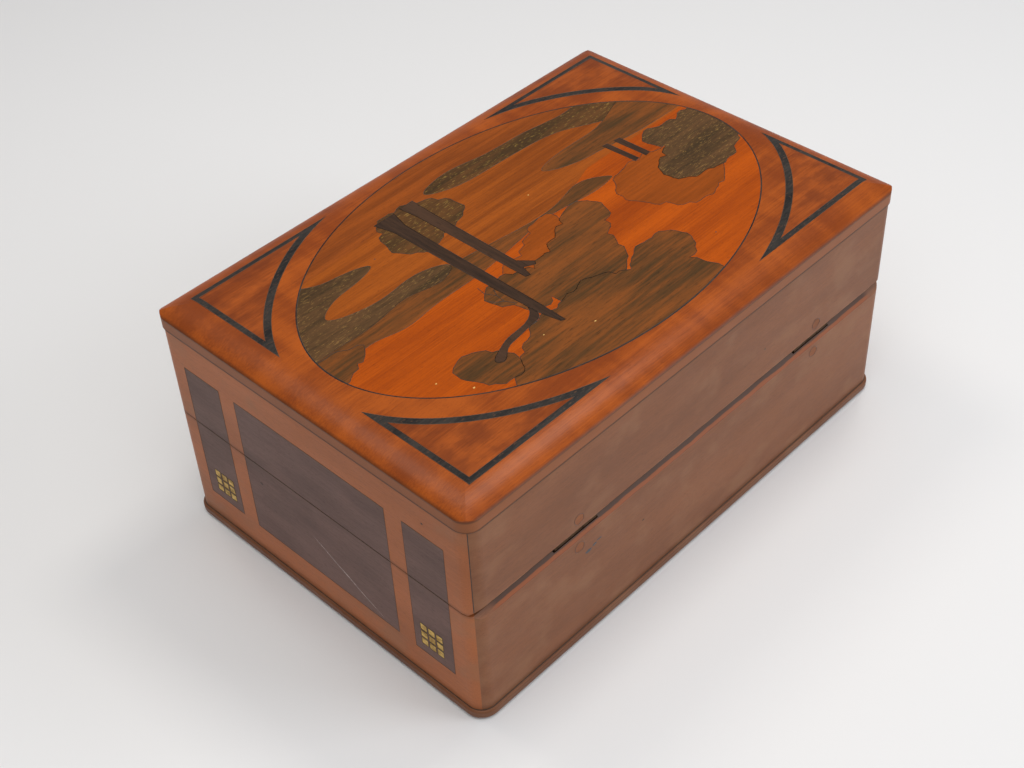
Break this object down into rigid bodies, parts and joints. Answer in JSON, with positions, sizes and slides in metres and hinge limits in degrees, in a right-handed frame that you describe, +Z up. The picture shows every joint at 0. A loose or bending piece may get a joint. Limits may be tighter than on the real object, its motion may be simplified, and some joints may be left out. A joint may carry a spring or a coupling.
{
  "type": "hinged marquetry puzzle box",
  "caption": "Rounded wooden box with a hinged lid, an inlaid oval landscape, dark end panels and a hidden sliding lock.",
  "frame": {"origin": "centre of the underside, on the surface that the box stands on", "axes": "+X along the length towards the right end, +Y towards the hinges at the back, +Z up"},
  "size_m": [0.1514, 0.1026, 0.067],
  "materials": {
    "case_wood": "satin varnish",
    "honey_wood": "satin varnish",
    "dark_panel_wood": "satin varnish",
    "gold_wood": "satin varnish",
    "black_stringing": "satin varnish",
    "red_veneer": "satin varnish",
    "sky_veneer": "satin varnish",
    "lake_veneer": "satin varnish",
    "earth_veneer": "satin varnish",
    "dark_trunk_veneer": "satin varnish",
    "brown_leaf_veneer": "satin varnish",
    "green_leaf_veneer": "satin varnish",
    "light_leaf_veneer": "satin varnish",
    "plug_wood": "satin varnish",
    "inner_wood": "bare, waxed",
    "brass": "aged",
    "steel_pins": "dull"
  },
  "bodies": {
    "base": {"base_back_wall": "case_wood", "base_front_wall": "case_wood", "base_hinge_plugs": "plug_wood", "base_leaf_pins": "steel_pins", "base_left_wall": "case_wood", "base_right_wall": "case_wood", "bottom_board": "case_wood", "floor_panel": "inner_wood", "floor_runners": "inner_wood", "front_base_panels": "dark_panel_wood", "hinge_base_leaves": "brass", "hinge_pins": "brass", "left_base_narrow_panels": "dark_panel_wood", "left_gold_blocks": "gold_wood", "lock_cover": "inner_wood", "right_base_centre_panel": "dark_panel_wood", "right_base_narrow_panels": "dark_panel_wood", "right_gold_blocks": "gold_wood"},
    "lid": {"branch_leaves": "brown_leaf_veneer", "corner_fillings": "red_veneer", "corner_stringing": "black_stringing", "crown_leaves": "green_leaf_veneer", "far_shore": "brown_leaf_veneer", "flecked_shore": "green_leaf_veneer", "foreground": "earth_veneer", "front_lid_panels": "dark_panel_wood", "hinge_lid_leaves": "brass", "keeper_pins": "brass", "lake": "lake_veneer", "left_dark_crown": "green_leaf_veneer", "left_lid_centre_panel": "dark_panel_wood", "left_lid_narrow_panels": "dark_panel_wood", "left_light_crown": "light_leaf_veneer", "left_trunks": "dark_trunk_veneer", "lid_back_wall": "case_wood", "lid_front_wall": "case_wood", "lid_hinge_plugs": "plug_wood", "lid_leaf_pins": "steel_pins", "lid_left_wall": "case_wood", "lid_right_wall": "case_wood", "light_leaves": "light_leaf_veneer", "low_branch": "dark_trunk_veneer", "middle_leaves": "brown_leaf_veneer", "near_bank": "green_leaf_veneer", "oval_stringing": "black_stringing", "right_clump": "brown_leaf_veneer", "right_lid_centre_panel": "dark_panel_wood", "right_lid_narrow_panels": "dark_panel_wood", "short_trunk": "dark_trunk_veneer", "shrub": "brown_leaf_veneer", "sky": "sky_veneer", "spit": "brown_leaf_veneer", "tall_trunk": "dark_trunk_veneer", "top_board": "honey_wood"},
    "lock": {"finger_pad": "dark_panel_wood", "finger_slide": "inner_wood", "lock_bar": "inner_wood", "lock_hooks": "brass"},
    "key": {"key_arm": "inner_wood", "key_panel": "dark_panel_wood"}
  },
  "joints": [
    {"name": "lid_hinge", "type": "hinge", "parent": "base", "child": "lid", "pos_m": [0, 0.0488, 0.0352], "axis": [-1, 0, 0], "range_deg": [0, 90]},
    {"name": "lock_slide", "type": "slide", "parent": "base", "child": "lock", "axis": [1, 0, 0], "range_m": [0, 0.006]},
    {"name": "key_slide", "type": "slide", "parent": "base", "child": "key", "axis": [0, -1, 0], "range_m": [0, 0.005]}
  ]
}
